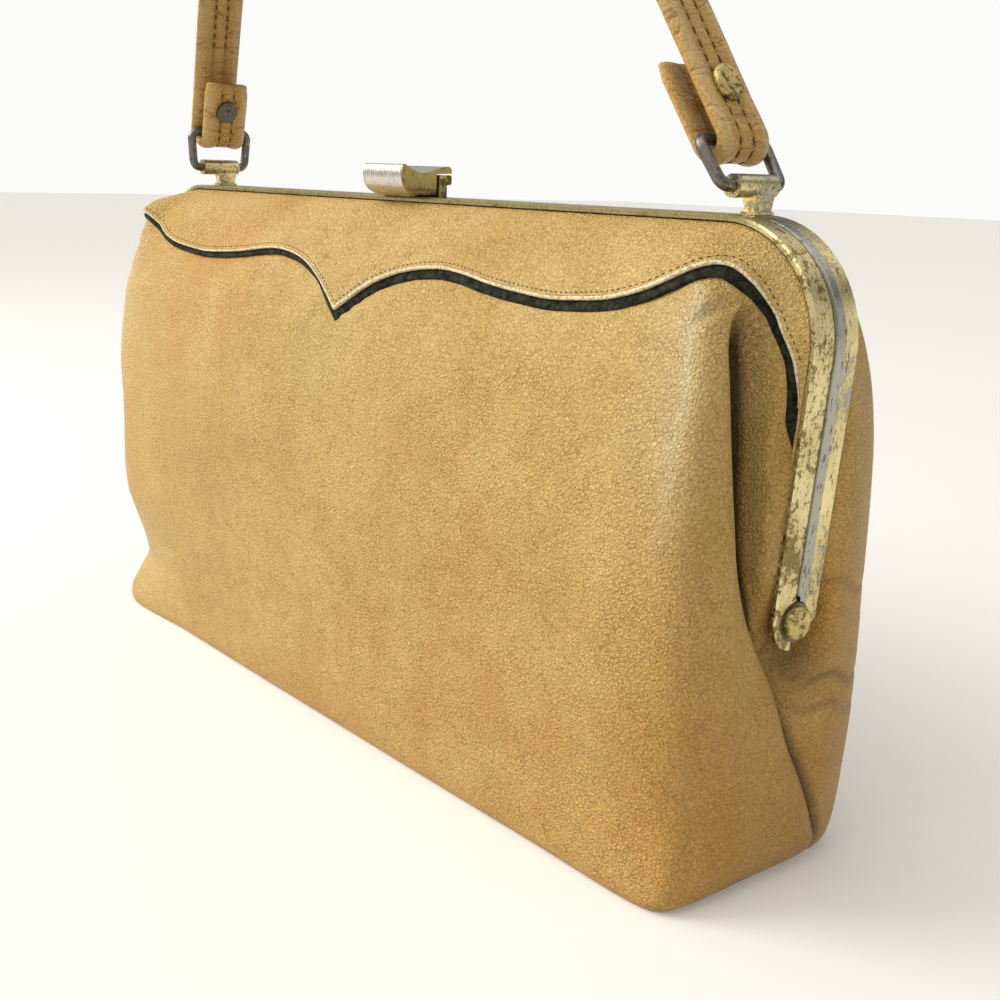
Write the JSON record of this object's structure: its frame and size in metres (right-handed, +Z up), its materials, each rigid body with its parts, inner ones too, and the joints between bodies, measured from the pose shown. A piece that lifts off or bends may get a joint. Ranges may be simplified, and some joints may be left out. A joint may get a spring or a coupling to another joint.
{
  "type": "kiss lock frame purse",
  "caption": "Frame purse with a hinged two-part metal frame, thumb clasp, scalloped leather yoke, soft pebbled body and a short strap handle on swinging rings.",
  "frame": {"origin": "middle of the base, on the surface the bag stands on", "axes": "+X to the right along the frame, +Y to the back, +Z up; the clasp's thumb tab and the yoke are on the -Y side"},
  "size_m": [0.2908, 0.0686, 0.2663],
  "materials": {
    "frame_gold": "worn gold plate",
    "clasp_metal": "worn plate",
    "ring_steel": "bent wire",
    "tan_leather": "fine pebbled grain",
    "strap_leather": "padded, stitched",
    "piping_leather": "dark strip",
    "lining_cloth": "plain woven cloth",
    "fibre_board": "pressed board"
  },
  "bodies": {
    "bag_body": {"lower_body": "tan_leather", "lower_lining": "lining_cloth", "base_board": "fibre_board", "left_hinge_rivet": "frame_gold", "right_hinge_rivet": "frame_gold", "left_hinge_washer": "ring_steel", "right_hinge_washer": "ring_steel"},
    "front_half": {"front_frame": "frame_gold", "front_clasp_tab": "clasp_metal", "front_clasp_rivets": "clasp_metal", "front_yoke": "tan_leather", "front_piping": "piping_leather", "front_panel": "tan_leather", "front_lining": "lining_cloth"},
    "back_half": {"back_frame": "frame_gold", "back_clasp_nub": "frame_gold", "back_clasp_rivets": "clasp_metal", "back_panel": "tan_leather", "back_lining": "lining_cloth", "left_handle_post": "frame_gold", "right_handle_post": "frame_gold"},
    "left_swivel": {"left_ring": "ring_steel"},
    "right_swivel": {"right_ring": "ring_steel"},
    "handle": {"handle_strap": "strap_leather", "left_strap_rivet_cap": "frame_gold", "left_strap_rivet_post": "ring_steel", "right_strap_rivet_cap": "frame_gold", "right_strap_rivet_post": "ring_steel"}
  },
  "joints": [
    {"name": "front_open", "type": "hinge", "parent": "bag_body", "child": "front_half", "pos_m": [0, 0, 0.0645], "axis": [1, 0, 0], "range_deg": [0, 25]},
    {"name": "back_open", "type": "hinge", "parent": "bag_body", "child": "back_half", "pos_m": [0, 0, 0.0645], "axis": [-1, 0, 0], "range_deg": [0, 25]},
    {"name": "left_ring_swing", "type": "hinge", "parent": "back_half", "child": "left_swivel", "pos_m": [-0.11943, 0.0012, 0.156], "axis": [0, 1, 0], "range_deg": [-10, 43]},
    {"name": "right_ring_swing", "type": "hinge", "parent": "back_half", "child": "right_swivel", "pos_m": [0.11943, 0.0012, 0.156], "axis": [0, 1, 0], "range_deg": [-13, 46]},
    {"name": "handle_tilt", "type": "hinge", "parent": "left_swivel", "child": "handle", "pos_m": [-0.11881, 0.0012, 0.16768], "axis": [0, 1, 0], "range_deg": [-47, 13]}
  ],
  "couplings": [
    {"joint": "back_open", "follows": "front_open", "ratio": 1},
    {"joint": "right_ring_swing", "follows": "left_ring_swing", "ratio": 1},
    {"joint": "handle_tilt", "follows": "left_ring_swing", "ratio": -1.0326}
  ]
}
